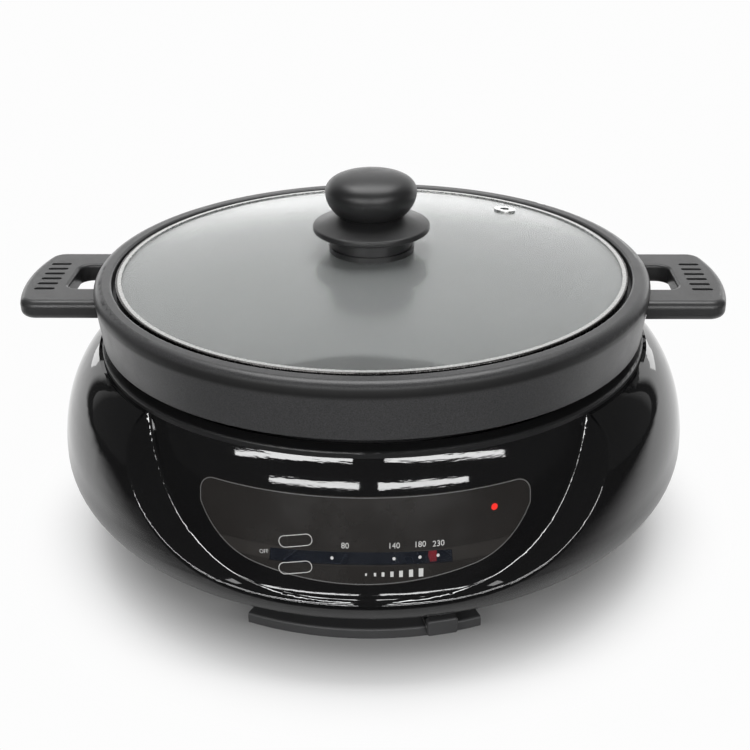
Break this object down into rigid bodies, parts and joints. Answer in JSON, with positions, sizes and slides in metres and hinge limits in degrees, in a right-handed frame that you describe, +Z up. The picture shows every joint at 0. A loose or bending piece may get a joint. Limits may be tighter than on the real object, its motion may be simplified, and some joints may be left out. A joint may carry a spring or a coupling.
{
  "type": "electric hot plate",
  "caption": "Round electric hot plate with a bulbous heated base, a lift-out two-handled pot, a glass lid with a knob and a sliding temperature lever under a smoked control panel.",
  "frame": {"origin": "on the table under the middle of the base", "axes": "+Z up, the control panel faces -Y, the pot handles lie along X"},
  "size_m": [0.407, 0.3655, 0.215],
  "materials": {
    "gloss_black": "high gloss moulded black",
    "smoked_panel": "smoked film, satin gloss",
    "lamp_red": "clear red",
    "inner_plastic": "matte moulded",
    "matte_black": "fine grain matte",
    "shield_steel": "zinc-bright sheet",
    "screw_steel": "satin",
    "heater_sheath": "heat-darkened satin",
    "ceramic_body": "glazed ceramic",
    "sensor_metal": "turned",
    "cover_black": "fine grain matte",
    "foot_rubber": "matte",
    "pin_metal": "nickel plated",
    "wire_cover": "glass-braid sleeve",
    "pointer_red": "satin red",
    "pot_coating": "non-stick coating, fine matte grain",
    "phenolic": "satin phenolic",
    "lid_glass": "clear tempered",
    "ring_steel": "polished stainless",
    "seal_silicone": "matte silicone"
  },
  "bodies": {
    "base": {"casing": "gloss_black", "control_panel": "smoked_panel", "lamp_lens": "lamp_red", "lamp_holder": "inner_plastic", "side_grip_right": "matte_black", "side_grip_left": "matte_black", "guard_ring": "matte_black", "heat_shield": "shield_steel", "shield_screws": "screw_steel", "sheath_heater": "heater_sheath", "heater_clips": "shield_steel", "pot_rests": "shield_steel", "thermostat_bracket": "shield_steel", "bracket_screws": "screw_steel", "thermostat": "ceramic_body", "pot_sensor": "sensor_metal", "bottom_cover": "cover_black", "base_screws": "screw_steel", "feet": "foot_rubber", "inlet_housing": "matte_black", "inlet_pins": "pin_metal", "keeper_plates": "shield_steel", "thermal_fuse": "ceramic_body", "wire_inlet_to_fuse": "wire_cover", "wire_fuse_to_heater": "wire_cover", "wire_heater_to_thermostat": "wire_cover", "wire_thermostat_to_inlet": "wire_cover"},
    "lever": {"lever_arm": "shield_steel", "lever_tab": "cover_black", "pointer_stalk": "inner_plastic", "pointer": "pointer_red", "thermostat_spindle": "pin_metal", "spindle_clip": "screw_steel"},
    "pot": {"pot": "pot_coating", "handle_right": "phenolic", "handle_left": "phenolic", "handle_screws": "screw_steel"},
    "lid": {"lid_glass": "lid_glass", "lid_ring": "ring_steel", "vent_grommet": "ring_steel", "knob_base": "phenolic", "knob": "phenolic", "knob_washer": "seal_silicone", "knob_screw": "screw_steel"}
  },
  "joints": [
    {"name": "pot_lift", "type": "slide", "parent": "base", "child": "pot", "axis": [0, 0, 1], "range_m": [0, 0.15]},
    {"name": "lid_lift", "type": "slide", "parent": "pot", "child": "lid", "axis": [0, 0, 1], "range_m": [0, 0.12]},
    {"name": "lever_swing", "type": "hinge", "parent": "base", "child": "lever", "pos_m": [0, 0, 0.018], "axis": [0, 0, 1], "range_deg": [-28.4, 0]}
  ]
}
